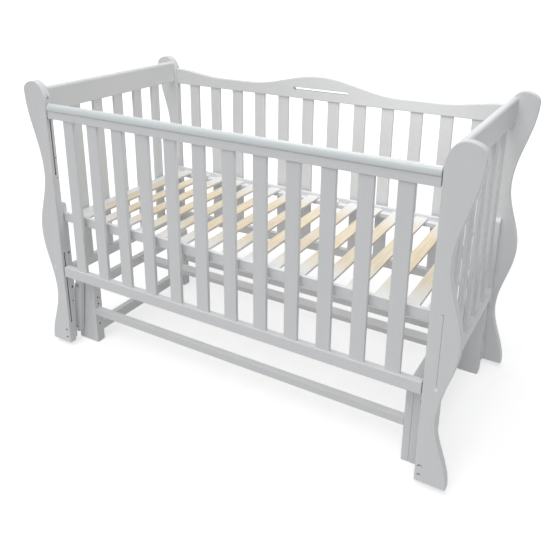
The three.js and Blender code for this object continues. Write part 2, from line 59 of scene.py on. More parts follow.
# Places along x and y are measured from the crib's middle
CRIB_GAP = 15 * MM  # floor to the posts' feet
POST_EDGE_X = 597 * MM  # the posts' straight edges
POST_CENTRE_Y = 310 * MM
POST_THICKNESS = 25 * MM
BATTEN_FRONT_Y = 297.2 * MM  # the battens' faces towards the posts
LINK_FACES = (275.2 * MM, 257.2 * MM)  # the links' outer and inner faces along y
BOLT_BORE = 4.3 * MM  # radius of the pivot bolts' holes in links and legs
FOOT_INSET = 12 * MM  # foot holes from the posts' straight edges
SCREW_CAP_INSET = 33 * MM
PIVOT = (591.3 * MM, 210 * MM)  # (x, z) of the links' upper pivots, in the legs
FOOT_PIVOT = (612.5 * MM, CRIB_GAP + 30 * MM)  # the lower ones, in the battens' feet

# Heights over the posts' feet
FOOT_HOLES = (19 * MM, 46 * MM)
SCREW_CAP_HEIGHT = 275 * MM
CATCH_HEIGHT = 834 * MM
HIGH_PIN = 784.25 * MM  # guide pins of the raised drop side
LOW_PIN = 265.5 * MM
DROP_TRAVEL = 190 * MM
ENTRY_RISE = 62 * MM  # how far the low grooves go on upwards, to put the pins in
LOW_RAIL_FOOT = 237 * MM  # low rails of the back and the ends
LOW_RAIL_HEIGHT = 31 * MM

# Panels and cuts
OVERCUT = 1 * MM  # how far a cutter stands out of the face that it cuts
RAIL_HALF = 10 * MM  # half the thickness of the long rails
SLAT_WIDTH = 40 * MM
SLAT_THICKNESS = 12 * MM
SLAT_MARGIN = 76 * MM  # middle of a long panel's last slat from the panel's end
SLAT_ROOT = 4 * MM  # how far slats go into their low rail
SLAT_TOP_ROOT = 7 * MM  # and into their top rail

CAMERA_PLACE = (0.9406, -1.6225, 1.2414)
CAMERA_TURN = (29.98, 70.82, 0.48)  # pan, tilt and roll in degrees
CAMERA_SHIFT = -0.1625


# Properties: what a user of the crib would change


class CribShape(bpy.types.PropertyGroup):
    """Roundings of the crib's boards."""

    post_edge: bpy.props.FloatProperty(
        name="Post edge", description="Radius along the edges of the wavy posts", default=2.5 * MM,
        min=0.5 * MM, max=6 * MM, unit="LENGTH")
    board_edge: bpy.props.FloatProperty(
        name="Board edge", description="Radius along the edges of the square boards", default=1.4 * MM,
        min=0.3 * MM, max=4 * MM, unit="LENGTH")
    rail_edge: bpy.props.FloatProperty(
        name="Rail edge", description="Radius along the edges of the low rails", default=2.6 * MM,
        min=0.3 * MM, max=6 * MM, unit="LENGTH")
    slat_edge: bpy.props.FloatProperty(
        name="Slat edge", description="Radius along the long edges of the upright slats", default=2.8 * MM,
        min=0.3 * MM, max=5 * MM, unit="LENGTH")
    bed_slat_edge: bpy.props.FloatProperty(
        name="Bed slat edge", description="Radius along the long edges of the bed slats", default=1.6 * MM,
        min=0.3 * MM, max=3.5 * MM, unit="LENGTH")
    edge_steps: bpy.props.IntProperty(
        name="Edge steps", description="Faces across each rounded edge", default=4, min=2, max=8)
    wave_steps: bpy.props.IntProperty(
        name="Wave steps", description="Points between two bends of a post's outline", default=26,
        min=8, max=60)


class CribFinish(bpy.types.PropertyGroup):
    """Colours and gloss of the finishes."""

    paint: bpy.props.FloatVectorProperty(
        name="Paint", description="Colour of the satin paint", default=(0.775, 0.785, 0.795),
        size=3, min=0, max=1, subtype="COLOR")
    lacquer: bpy.props.FloatVectorProperty(
        name="Cap lacquer", description="Colour of the glossy cap on the drop side",
        default=(0.71, 0.745, 0.755), size=3, min=0, max=1, subtype="COLOR")
    plastic: bpy.props.FloatVectorProperty(
        name="Plastic", description="Colour of the screw caps", default=(0.92, 0.93, 0.93),
        size=3, min=0, max=1, subtype="COLOR")
    birch: bpy.props.FloatVectorProperty(
        name="Birch", description="Colour of the bare bed slats", default=(0.81, 0.735, 0.575),
        size=3, min=0, max=1, subtype="COLOR")
    birch_dark: bpy.props.FloatVectorProperty(
        name="Birch grain", description="Colour of the bed slats' grain", default=(0.72, 0.61, 0.44),
        size=3, min=0, max=1, subtype="COLOR")
    birch_end: bpy.props.FloatVectorProperty(
        name="Birch ends", description="Colour of the bed slats' pale ends", default=(0.84, 0.835, 0.82),
        size=3, min=0, max=1, subtype="COLOR")
    zinc: bpy.props.FloatVectorProperty(
        name="Zinc", description="Colour of the zinc plated steel", default=(0.62, 0.63, 0.65),
        size=3, min=0, max=1, subtype="COLOR")
    paint_gloss: bpy.props.FloatProperty(
        name="Paint roughness", description="Roughness of the satin paint", default=0.42, min=0.05, max=1,
        subtype="FACTOR")
    cap_gloss: bpy.props.FloatProperty(
        name="Cap roughness", description="Roughness of the glossy cap", default=0.16, min=0.02, max=1,
        subtype="FACTOR")


class CribStudio(bpy.types.PropertyGroup):
    """Lamps, surroundings and camera."""

    sky: bpy.props.FloatProperty(
        name="Surroundings", description="Strength of the pale light from all round", default=0.38,
        min=0, max=3)
    top_light: bpy.props.FloatProperty(
        name="Top light", description="Power of the large lamp above the crib", default=17, min=0, max=200,
        unit="POWER")
    side_light: bpy.props.FloatProperty(
        name="Side light", description="Power of the small lamp above the bed that looks to the left",
        default=2.2, min=0, max=100, unit="POWER")
    front_light: bpy.props.FloatProperty(
        name="Front light", description="Strength of the even light from high in front", default=1.22,
        min=0, max=10)
    lens: bpy.props.FloatProperty(
        name="Lens", description="Focal length of the camera", default=42.6, min=20, max=120, unit="CAMERA")


# Outlines


def arc(centre, radii, start, end, steps):
    """Points of part of an ellipse, both ends among them, angles in degrees."""
    points = []
    for i in range(steps + 1):
        angle = math.radians(start + (end - start) * i / steps)
        points.append((centre[0] + radii[0] * math.cos(angle), centre[1] + radii[1] * math.sin(angle)))
    return points


def circle(radius, centre, steps):
    """Points of a circle, anticlockwise."""
    return arc(centre, (radius, radius), 0, 360, steps)[:-1]


def slot_outline(radius, start, end, steps):
    """Outline of a slot with round ends, whose end circles have their centres at start and end."""
    along = math.degrees(math.atan2(end[1] - start[1], end[0] - start[0]))
    return (arc(end, (radius, radius), along - 90, along + 90, steps)
            + arc(start, (radius, radius), along + 90, along + 270, steps))


def waved(bends, steps):
    """Points of a smooth S between neighbouring (place, size) pairs."""
    points = [bends[0]]
    for (place_a, size_a), (place_b, size_b) in zip(bends, bends[1:]):
        for step in range(1, steps + 1):
            share = step / steps
            swing = (1 - math.cos(math.pi * share)) / 2
            points.append((place_a + (place_b - place_a) * share, size_a + (size_b - size_a) * swing))
    return points


def scaled(points):
    """Points in metres from points in millimetres."""
    return [(first * MM, second * MM) for first, second in points]


# Meshes


def linked(name, mesh):
    """Links a new object with this mesh into the scene."""
    made = bpy.data.objects.new(name, mesh)
    bpy.context.scene.collection.objects.link(made)
    return made


def object_of(name, bm):
    """Turns a bmesh into a linked object, with its faces pointing outwards."""
    bmesh.ops.recalc_face_normals(bm, faces=bm.faces)
    mesh = bpy.data.meshes.new(name)
    bm.to_mesh(mesh)
    bm.free()
    return linked(name, mesh)


def along_axis(axis, first, second, along):
    """A point from two places across an axis and one along it."""
    return {"x": (along, first, second), "y": (first, along, second), "z": (first, second, along)}[axis]


def prism(name, outline, axis, low, high):
    """A closed solid: an outline in the two other axes, from low to high along axis."""
    bm = bmesh.new()
    near = [bm.verts.new(along_axis(axis, *point, low)) for point in outline]
    far = [bm.verts.new(along_axis(axis, *point, high)) for point in outline]
    bm.faces.new(near)
    bm.faces.new(list(reversed(far)))
    for i in range(len(outline)):
        j = (i + 1) % len(outline)
        bm.faces.new((near[i], far[i], far[j], near[j]))
    return object_of(name, bm)


def turned(name, profile, places, axis, steps=28):
    """Solids turned round an axis: (radius, height) pairs in mm, set at (centre, direction) pairs."""
    bm = bmesh.new()
    for centre, direction in places:
        rings = []
        for radius, height in scaled(profile):
            ring = []
            for i in range(steps):
                angle = math.tau * i / steps
                offset = along_axis(axis, radius * math.cos(angle), radius * math.sin(angle),
                                    height * direction)
                ring.append(bm.verts.new(Vector(centre) + Vector(offset)))
            rings.append(ring)
        for lower, upper in zip(rings, rings[1:]):
            for i in range(steps):
                j = (i + 1) % steps
                bm.faces.new((lower[i], lower[j], upper[j], upper[i]))
        bm.faces.new(rings[0])
        bm.faces.new(list(reversed(rings[-1])))
    return object_of(name, bm)


def round_edges(made, radius, steps, angle=30):
    """Rounds the edges of a piece that are sharper than an angle."""
    bevel = made.modifiers.new("Edges", "BEVEL")
    bevel.width = radius
    bevel.segments = steps
    bevel.limit_method = "ANGLE"
    bevel.angle_limit = math.radians(angle)
    bevel.use_clamp_overlap = True


def cut_from(made, outline, axis, start, end):
    """Cuts a straight hole of this outline into a piece, from start to end along axis."""
    cutter = prism("cutter", outline, axis, *sorted((start, end)))
    cutter.hide_render = True
    boolean = made.modifiers.new("Cut", "BOOLEAN")
    boolean.operation = "DIFFERENCE"
    boolean.solver = "EXACT"
    boolean.object = cutter


def applied(made):
    """Gives a piece the mesh that its modifiers make, and removes them."""
    bpy.context.view_layer.update()
    graph = bpy.context.evaluated_depsgraph_get()
    mesh = bpy.data.meshes.new_from_object(made.evaluated_get(graph))
    made.modifiers.clear()
    old = made.data
    made.data = mesh
    mesh.name = made.name
    bpy.data.meshes.remove(old)


def dress(made, material, body, slot, *nodes, smooth_angle=40):
    """Finishes a piece: its mesh, shading and material, its body, and the nodes it stands for."""
    cutters = [modifier.object for modifier in made.modifiers if modifier.type == "BOOLEAN"]
    applied(made)
    for cutter in cutters:
        bpy.data.objects.remove(cutter)
    made.data.shade_smooth()
    made.data.set_sharp_from_angle(angle=math.radians(smooth_angle))
    weighted = made.modifiers.new("Normals", "WEIGHTED_NORMAL")
    weighted.keep_sharp = True
    weighted.weight = 80
    applied(made)
    made.data.materials.clear()
    made.data.materials.append(material)
    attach(made, body)
    if nodes:
        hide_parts(*nodes)


def block(name, low, high, radius, steps):
    """A plain board between two corners, with rounded edges."""
    outline = [(low[0], low[1]), (high[0], low[1]), (high[0], high[1]), (low[0], high[1])]
    made = prism(name, outline, "z", low[2], high[2])
    round_edges(made, radius, steps)
    return made


def board(name, low, high, radius, grain, body, *nodes):
    """A painted board between two corners, as a finished piece."""
    made = block(name, low, high, radius, bpy.context.scene.crib_shape.edge_steps)
    dress(made, paint(grain), body, "white_paint", *nodes)


# Node trees


def feed(tree, made, inputs):
    """Gives a node's inputs their values, or links them to other nodes' sockets."""
    for label, value in inputs.items():
        if isinstance(value, bpy.types.NodeSocket):
            tree.links.new(value, made.inputs[label])
        else:
            made.inputs[label].default_value = value


def node(tree, kind, inputs=None, **settings):
    """A new node with these settings, and with its inputs given values or linked."""
    made = tree.nodes.new(kind)
    for label, value in settings.items():
        setattr(made, label, value)
    feed(tree, made, inputs or {})
    return made


def worked(tree, operation, *values):
    """The result of a math node on numbers or sockets."""
    return node(tree, "ShaderNodeMath", dict(enumerate(values)), operation=operation).outputs[0]


def socket(tree, name, kind, direction="INPUT", default=None):
    """Adds a named input or output to a tree."""
    made = tree.interface.new_socket(name=name, in_out=direction, socket_type=kind)
    if default is not None:
        made.default_value = default


def geometry_tree(name, inputs):
    """A new Geometry Nodes tree with a geometry in and out, and its named inputs."""
    tree = bpy.data.node_groups.new(name, "GeometryNodeTree")
    socket(tree, "Geometry", "NodeSocketGeometry")
    for label, kind, default in inputs:
        socket(tree, label, kind, "INPUT", default)
    socket(tree, "Geometry", "NodeSocketGeometry", "OUTPUT")
    return tree, node(tree, "NodeGroupInput").outputs


def end_tree(tree, instances, material):
    """Ends a Geometry Nodes tree: its instances become a mesh of this material."""
    real = node(tree, "GeometryNodeRealizeInstances", {"Geometry": instances})
    covered = node(tree, "GeometryNodeSetMaterial", {
        "Geometry": real.outputs["Geometry"], "Material": material})
    node(tree, "NodeGroupOutput", {"Geometry": covered.outputs["Geometry"]})


def slat_row_tree():
    """Tree for a row of slats: a rounded board on each of a number of evenly spaced points."""
    found = bpy.data.node_groups.get("Slat Row")
    if found:
        return found
    tree, given = geometry_tree("Slat Row", [
        ("Count", "NodeSocketInt", 12), ("Start", "NodeSocketVector", (0, 0, 0)),
        ("End", "NodeSocketVector", (1, 0, 0)), ("Width", "NodeSocketFloat", 0.04),
        ("Thickness", "NodeSocketFloat", 0.012), ("Length", "NodeSocketFloat", 0.5),
        ("Edge", "NodeSocketFloat", 0.003), ("Edge Steps", "NodeSocketInt", 4),
        ("Turn", "NodeSocketRotation", None), ("Seed", "NodeSocketInt", 3),
        ("Material", "NodeSocketMaterial", None)])
    profile = node(tree, "GeometryNodeCurvePrimitiveQuadrilateral", {
        "Width": given["Width"], "Height": given["Thickness"]})
    fillet = node(tree, "GeometryNodeFilletCurve", {
        "Curve": profile.outputs["Curve"], "Radius": given["Edge"], "Count": given["Edge Steps"]},
        mode="POLY")
    half = worked(tree, "MULTIPLY", given["Length"], 0.5)
    ends = [node(tree, "ShaderNodeCombineXYZ", {"Z": height})
            for height in (worked(tree, "MULTIPLY", half, -1), half)]
    line = node(tree, "GeometryNodeCurvePrimitiveLine", {
        "Start": ends[0].outputs[0], "End": ends[1].outputs[0]})
    sweep = node(tree, "GeometryNodeCurveToMesh", {
        "Curve": line.outputs["Curve"], "Profile Curve": fillet.outputs["Curve"], "Fill Caps": True})
    slat = node(tree, "GeometryNodeTransform", {
        "Geometry": sweep.outputs["Mesh"], "Rotation": given["Turn"]})
    places = node(tree, "GeometryNodeMeshLine", {
        "Count": given["Count"], "Start Location": given["Start"], "Offset": given["End"]},
        mode="END_POINTS")
    copies = node(tree, "GeometryNodeInstanceOnPoints", {
        "Points": places.outputs["Mesh"], "Instance": slat.outputs["Geometry"]})
    tint = node(tree, "FunctionNodeRandomValue", {"Seed": given["Seed"]}, data_type="FLOAT")
    toned = node(tree, "GeometryNodeStoreNamedAttribute", {
        "Geometry": copies.outputs["Instances"], "Name": "board_tint", "Value": tint.outputs[1]},
        data_type="FLOAT", domain="INSTANCE")
    end_tree(tree, toned.outputs["Geometry"], given["Material"])
    return tree


def fitting_tree():
    """Tree that sets a small turned fitting with a driver socket on each point of a mesh."""
    found = bpy.data.node_groups.get("Fittings")
    if found:
        return found
    tree, given = geometry_tree("Fittings", [
        ("Radius", "NodeSocketFloat", 0.004), ("Height", "NodeSocketFloat", 0.002),
        ("Socket Radius", "NodeSocketFloat", 0.0018), ("Socket Depth", "NodeSocketFloat", 0.0012),
        ("Socket Corners", "NodeSocketInt", 6), ("Rim Share", "NodeSocketFloat", 0.82),
        ("Sides", "NodeSocketInt", 20), ("Turn", "NodeSocketRotation", None),
        ("Material", "NodeSocketMaterial", None)])
    # The rim is the chamfered upper part of the head, the stem its plain lower part
    rim = node(tree, "GeometryNodeMeshCone", {
        "Vertices": given["Sides"], "Radius Bottom": given["Radius"],
        "Radius Top": worked(tree, "MULTIPLY", given["Radius"], given["Rim Share"]),
        "Depth": worked(tree, "MULTIPLY", given["Height"], 0.4)}, fill_type="NGON")
    lift = node(tree, "ShaderNodeCombineXYZ", {"Z": worked(tree, "MULTIPLY", given["Height"], 0.6)})
    raised = node(tree, "GeometryNodeTransform", {
        "Geometry": rim.outputs["Mesh"], "Translation": lift.outputs[0]})
    stem = node(tree, "GeometryNodeMeshCylinder", {
        "Vertices": given["Sides"], "Radius": given["Radius"],
        "Depth": worked(tree, "MULTIPLY", given["Height"], 1.2)}, fill_type="NGON")
    head = node(tree, "GeometryNodeMeshBoolean", {"Mesh 2": raised.outputs["Geometry"]},
                operation="UNION", solver="EXACT")
    tree.links.new(stem.outputs["Mesh"], head.inputs["Mesh 2"])
    drive = node(tree, "GeometryNodeMeshCylinder", {
        "Vertices": given["Socket Corners"], "Radius": given["Socket Radius"],
        "Depth": worked(tree, "MULTIPLY", given["Socket Depth"], 2.0)}, fill_type="NGON")
    top = node(tree, "ShaderNodeCombineXYZ", {"Z": given["Height"]})
    sunk = node(tree, "GeometryNodeTransform", {
        "Geometry": drive.outputs["Mesh"], "Translation": top.outputs[0]})
    hollow = node(tree, "GeometryNodeMeshBoolean", {
        "Mesh 1": head.outputs["Mesh"], "Mesh 2": sunk.outputs["Geometry"]},
        operation="DIFFERENCE", solver="EXACT")
    fitting = node(tree, "GeometryNodeTransform", {
        "Geometry": hollow.outputs["Mesh"], "Rotation": given["Turn"]})
    copies = node(tree, "GeometryNodeInstanceOnPoints", {
        "Points": given["Geometry"], "Instance": fitting.outputs["Geometry"]})
    end_tree(tree, copies.outputs["Instances"], given["Material"])
    return tree


def grown(name, tree, values, points=((0, 0, 0),)):
    """A piece made by a Geometry Nodes tree on some points."""
    mesh = bpy.data.meshes.new(name)
    mesh.from_pydata([tuple(point) for point in points], [], [])
    made = linked(name, mesh)
    modifier = made.modifiers.new(tree.name, "NODES")
    modifier.node_group = tree
    sockets = {item.name: item.identifier for item in tree.interface.items_tree
               if item.item_type == "SOCKET" and item.in_out == "INPUT"}
    for label, value in values.items():
        modifier[sockets[label]] = value
    return made


def slat_row(name, start, end, count, size, turn, material, slot, body, *nodes, edge, seed):
    """A row of slats (width, thickness, length) from the start point to the end point."""
    width, thickness, length = size
    made = grown(name, slat_row_tree(), {
        "Count": count, "Start": Vector(start), "End": Vector(end), "Width": width,
        "Thickness": thickness, "Length": length, "Edge": edge,
        "Edge Steps": bpy.context.scene.crib_shape.edge_steps, "Turn": turn, "Seed": seed,
        "Material": material})
    dress(made, material, body, slot, *nodes)


def upright_slats(name, start, end, count, reach, turn, body, panel, seed):
    """Painted upright slats in a row from start to end (x, y), turned by degrees, from bottom to top."""
    bottom, top = reach
    middle = (bottom + top) / 2
    slat_row(name, (*start, middle), (*end, middle), count, (SLAT_WIDTH, SLAT_THICKNESS, top - bottom),
             (0, 0, math.radians(turn)), paint("z"), "white_paint", body, panel,
             edge=bpy.context.scene.crib_shape.slat_edge, seed=seed)


def fittings(name, points, size, drive, side_y, material, slot, body):
    """Screw heads on points of a face to the front or back: size is (radius, height), drive the socket."""
    radius, height = size
    socket_radius, socket_depth, corners = drive
    made = grown(name, fitting_tree(), {
        "Radius": radius, "Height": height, "Socket Radius": socket_radius, "Socket Depth": socket_depth,
        "Socket Corners": corners, "Turn": (math.radians(-90 * side_y), 0, 0),
        "Material": material}, points)
    dress(made, material, body, slot)


# Materials


STRETCH = {"x": (0.05, 1, 1), "y": (1, 0.05, 1), "z": (1, 1, 0.05)}
NOISE = (0.3, 0.7)  # nearly all of a noise lies between these


def brush_group():
    """Shader nodes for brushed paint on wood: a tone, a height and a sheen that run along the board."""
    found = bpy.data.node_groups.get("Painted Wood")
    if found:
        return found
    tree = bpy.data.node_groups.new("Painted Wood", "ShaderNodeTree")
    socket(tree, "Vector", "NodeSocketVector")
    socket(tree, "Grain Scale", "NodeSocketFloat", "INPUT", 60.0)
    socket(tree, "Cloud Scale", "NodeSocketFloat", "INPUT", 3.0)
    for label in ("Tone", "Height", "Sheen"):
        socket(tree, label, "NodeSocketFloat", "OUTPUT")
    given = node(tree, "NodeGroupInput").outputs
    grain = node(tree, "ShaderNodeTexNoise", {
        "Vector": given["Vector"], "Scale": given["Grain Scale"], "Detail": 5.0, "Roughness": 0.62})
    cloud = node(tree, "ShaderNodeTexNoise", {
        "Vector": given["Vector"], "Scale": given["Cloud Scale"], "Detail": 2.0})
    tone = node(tree, "ShaderNodeMix", {
        "Factor": 0.6, "A": grain.outputs["Fac"], "B": cloud.outputs["Fac"]})
    node(tree, "NodeGroupOutput", {
        "Tone": tone.outputs["Result"], "Height": grain.outputs["Fac"], "Sheen": cloud.outputs["Fac"]})
    return tree


def recess_shade_group():
    """Shader nodes that darken the inside of a piece's own holes and grooves as painted shade, by how hidden
    each point is within the piece.
    """
    found = bpy.data.node_groups.get("Recess Shade")
    if found:
        return found
    tree = bpy.data.node_groups.new("Recess Shade", "ShaderNodeTree")
    socket(tree, "Width", "NodeSocketFloat", "INPUT", 0.01)
    socket(tree, "Inside Shade Tone", "NodeSocketFloat", "INPUT", 0.15)
    socket(tree, "Tone", "NodeSocketFloat", "OUTPUT")
    given = node(tree, "NodeGroupInput").outputs
    # Painted shade: the piece's own ambient occlusion darkens its holes and grooves down to the inside tone
    near = node(tree, "ShaderNodeAmbientOcclusion", {"Distance": given["Width"]}, only_local=True, samples=8)
    tone = node(tree, "ShaderNodeMapRange", {
        "Value": near.outputs["AO"], "From Min": 0.18, "From Max": 0.45, "To Min": given["Inside Shade Tone"]})
    node(tree, "NodeGroupOutput", {"Tone": tone.outputs["Result"]})
    return tree


def darkened(tree, colour, tone):
    """A colour times a tone."""
    return node(tree, "ShaderNodeVectorMath", {0: colour, "Scale": tone}, operation="SCALE").outputs[0]


def mixed(tree, share, first, second, blend="MIX"):
    """A mix of two colours by a share."""
    return node(tree, "ShaderNodeMix", {0: share, 6: first, 7: second},
                data_type="RGBA", blend_type=blend).outputs[2]


def mapped(tree, stretch):
    """Object coordinates, stretched."""
    place = node(tree, "ShaderNodeTexCoord")
    mapping = node(tree, "ShaderNodeMapping", {"Vector": place.outputs["Object"], "Scale": stretch})
    return mapping.outputs["Vector"]


def split_place(tree, kind="Object"):
    """The X, Y and Z of a texture coordinate."""
    place = node(tree, "ShaderNodeTexCoord")
    return node(tree, "ShaderNodeSeparateXYZ", {"Vector": place.outputs[kind]}).outputs


def ramp(tree, source, low, high, colour_low, colour_high):
    """A colour that goes from one to the other as the source goes from low to high."""
    made = node(tree, "ShaderNodeValToRGB", {"Fac": source})
    for element, position, colour in zip(made.color_ramp.elements, (low, high), (colour_low, colour_high)):
        element.position = position
        element.color = (*colour, 1)
    return made.outputs["Color"]


def span(tree, source, low, high, new_low, new_high):
    """A value moved from one range to another."""
    return node(tree, "ShaderNodeMapRange", {
        "Value": source, "From Min": low, "From Max": high, "To Min": new_low,
        "To Max": new_high}).outputs["Result"]


def band(tree, coordinate, middle, half, soft):
    """A value that is 1 within half a width of a place and falls to 0 over a soft edge, all in mm."""
    away = worked(tree, "ABSOLUTE", worked(tree, "SUBTRACT", coordinate, middle * MM))
    return span(tree, away, half * MM, (half + soft) * MM, 1.0, 0.0)


def bump(tree, height, strength, distance):
    """A normal that follows a height."""
    return node(tree, "ShaderNodeBump", {
        "Height": height, "Strength": strength, "Distance": distance}).outputs["Normal"]


def tinted(colour, factor):
    """A colour made lighter or darker."""
    return tuple(min(1.0, part * factor) for part in colour)


def wood(tree, grain, grain_scale, cloud_scale):
    """The pattern of brushed wood whose grain runs along x, y or z."""
    return node(tree, "ShaderNodeGroup", {
        "Vector": mapped(tree, STRETCH[grain]), "Grain Scale": grain_scale, "Cloud Scale": cloud_scale},
        node_tree=brush_group()).outputs


def principled(name):
    """A new material with its shader and output, ready for its own nodes."""
    material = bpy.data.materials.new(name)
    material.use_nodes = True
    tree = material.node_tree
    tree.nodes.clear()
    shader = node(tree, "ShaderNodeBsdfPrincipled")
    node(tree, "ShaderNodeOutputMaterial", {"Surface": shader.outputs["BSDF"]})
    return material, tree, shader


def paint(grain):
    """Satin white paint over solid wood whose grain runs along x, y or z."""
    name = "white_paint_" + grain
    found = bpy.data.materials.get(name)
    if found:
        return found
    finish = bpy.context.scene.crib_finish
    material, tree, shader = principled(name)
    brushed = wood(tree, grain, grain_scale=260.0, cloud_scale=14.0)
    coat = ramp(tree, brushed["Tone"], *NOISE, tinted(finish.paint, 0.965), tinted(finish.paint, 1.02))
    # Upright pieces get painted shade that darkens the insides of their small holes and grooves
    if grain == "z":  # the small holes and grooves are in upright pieces, and dark inside
        recess_shade = node(tree, "ShaderNodeGroup", node_tree=recess_shade_group())
        coat = darkened(tree, coat, recess_shade.outputs["Tone"])
    gloss = finish.paint_gloss
    feed(tree, shader, {
        "Base Color": coat,
        "Roughness": span(tree, brushed["Sheen"], *NOISE, gloss - 0.05, gloss + 0.07),
        "Normal": bump(tree, brushed["Height"], strength=0.16, distance=0.4 * MM)})
    return material


def hairline_paint():
    """The posts' paint with the fine dark upright line that runs above the front right screw cap."""
    found = bpy.data.materials.get("white_paint_hairline")
    if found:
        return found
    material = paint("z").copy()
    material.name = "white_paint_hairline"
    tree = material.node_tree
    shader = next(made for made in tree.nodes if made.type == "BSDF_PRINCIPLED")
    coat = shader.inputs["Base Color"].links[0].from_socket
    place = split_place(tree)
    line = worked(tree, "MULTIPLY", band(tree, place["X"], middle=629.6, half=0.35, soft=0.4),
                  band(tree, place["Z"], middle=397, half=94, soft=4))
    hook = worked(tree, "MULTIPLY", band(tree, place["X"], middle=627, half=2.6, soft=0.6),
                  band(tree, place["Z"], middle=491, half=0.5, soft=0.5))
    on_face = band(tree, place["Y"], middle=-322, half=3, soft=1)
    drawn = worked(tree, "MULTIPLY", worked(tree, "MAXIMUM", line, hook), on_face)
    feed(tree, shader, {"Base Color": darkened(tree, coat, span(tree, drawn, 0.0, 1.0, 1.0, 0.45))})
    return material


def glossy(name, colour, gloss, coat):
    """Glossy paint or plastic with a faint unevenness along x."""
    found = bpy.data.materials.get(name)
    if found:
        return found
    material, tree, shader = principled(name)
    brushed = wood(tree, "x", grain_scale=120.0, cloud_scale=10.0)
    feed(tree, shader, {
        "Base Color": ramp(tree, brushed["Tone"], *NOISE, tinted(colour, 0.96), tinted(colour, 1.02)),
        "Roughness": span(tree, brushed["Sheen"], *NOISE, gloss - 0.03, gloss + 0.05),
        "Normal": bump(tree, brushed["Height"], strength=0.1, distance=0.5 * MM),
        "Coat Weight": coat, "Coat Roughness": 0.08})
    return material


def lacquer():
    """Glossy bluish lacquer of the half-round cap."""
    finish = bpy.context.scene.crib_finish
    return glossy("gloss_lacquer", finish.lacquer, finish.cap_gloss, 0.35)


def plastic():
    """White plastic of the screw caps."""
    return glossy("white_plastic", bpy.context.scene.crib_finish.plastic, 0.3, 0.0)


def birch():
    """Bare sanded birch, each slat a little different, paler towards its two ends."""
    found = bpy.data.materials.get("bare_birch")
    if found:
        return found
    finish = bpy.context.scene.crib_finish
    material, tree, shader = principled("bare_birch")
    sanded = wood(tree, "y", grain_scale=210.0, cloud_scale=26.0)
    grain = ramp(tree, sanded["Height"], 0.36, 0.6, finish.birch_dark, finish.birch)
    tint = node(tree, "ShaderNodeAttribute", attribute_name="board_tint")
    shade = ramp(tree, tint.outputs["Fac"], 0.0, 1.0, (1.0, 0.97, 0.93), (0.93, 0.93, 0.97))
    toned = mixed(tree, 1.0, grain, shade, "MULTIPLY")
    # The pale ends start at a place that wanders with the wood
    across = worked(tree, "ABSOLUTE", split_place(tree)["Y"])
    wander = worked(tree, "MULTIPLY_ADD", sanded["Sheen"], 50 * MM, across)
    pale_from, pale_to = 160 * MM, 270 * MM
    pale = span(tree, wander, pale_from, pale_to, 0.0, 0.92)
    feed(tree, shader, {
        "Base Color": mixed(tree, pale, toned, (*finish.birch_end, 1)),
        "Roughness": span(tree, sanded["Height"], *NOISE, 0.52, 0.7),
        "Normal": bump(tree, sanded["Height"], strength=0.35, distance=0.6 * MM)})
    return material


def zinc():
    """Zinc plated steel with a faint patchy crystal."""
    found = bpy.data.materials.get("zinc_plate")
    if found:
        return found
    colour = bpy.context.scene.crib_finish.zinc
    material, tree, shader = principled("zinc_plate")
    crystal = node(tree, "ShaderNodeTexVoronoi", {"Vector": mapped(tree, (1, 1, 1)), "Scale": 900.0})
    patch = crystal.outputs["Distance"]
    feed(tree, shader, {
        "Base Color": ramp(tree, patch, 0.0, 0.7, tinted(colour, 0.9), tinted(colour, 1.05)),
        "Roughness": span(tree, patch, 0.0, 0.8, 0.28, 0.42), "Metallic": 1.0})
    return material


# Posts


def post_outline():
    """(outwards, up) points of a post from its straight edge and its foot, in metres."""
    crown, crown_middle = 881, 44
    shoulder, shoulder_width = 852, 87  # where the outer side ends and the round head begins
    brow = 818  # where the straight edge ends
    # (height, width) of the foot, the waist, the belly, the upper waist and the shoulder
    bends = [(0, 79.5), (190, 38), (400, 77.5), (597, 38), (shoulder, shoulder_width)]
    wave = waved(bends, bpy.context.scene.crib_shape.wave_steps)
    points = [(0, 0)] + [(width, height) for height, width in wave]
    points += arc((crown_middle, shoulder), (shoulder_width - crown_middle, crown - shoulder), 0, 90, 14)[1:]
    points += arc((crown_middle, brow), (crown_middle, crown - brow), 90, 180, 18)[1:]
    return scaled(points)


def cut_guides(made, side_x, centre_y):
    """Cuts the guide grooves, the small holes and the catch plate's seat into a front post's edge."""
    depth = 6.5 * MM
    reach = side_x * (POST_EDGE_X - OVERCUT), side_x * (POST_EDGE_X + depth)
    lowest_high_pin = HIGH_PIN - DROP_TRAVEL
    entry = LOW_PIN + ENTRY_RISE
    for low, high in ((lowest_high_pin, HIGH_PIN), (LOW_PIN - DROP_TRAVEL, entry)):
        groove = slot_outline(2.2 * MM, (centre_y, CRIB_GAP + low), (centre_y, CRIB_GAP + high), 10)
        cut_from(made, groove, "x", *reach)
    pockets = [(0, lowest_high_pin, 2.9 * MM), (0, entry, 2.9 * MM)]
    small_holes = [(-7 * MM, 772 * MM, 2 * MM), (5.5 * MM, 646 * MM, 2 * MM), (5.5 * MM, 581 * MM, 2 * MM)]
    catch_seat = (0, CATCH_HEIGHT, 7.3 * MM)
    for across, height, radius in pockets + small_holes + [catch_seat]:
        hole = circle(radius, (centre_y + across, CRIB_GAP + height), 20)
        cut_from(made, hole, "x", *reach)


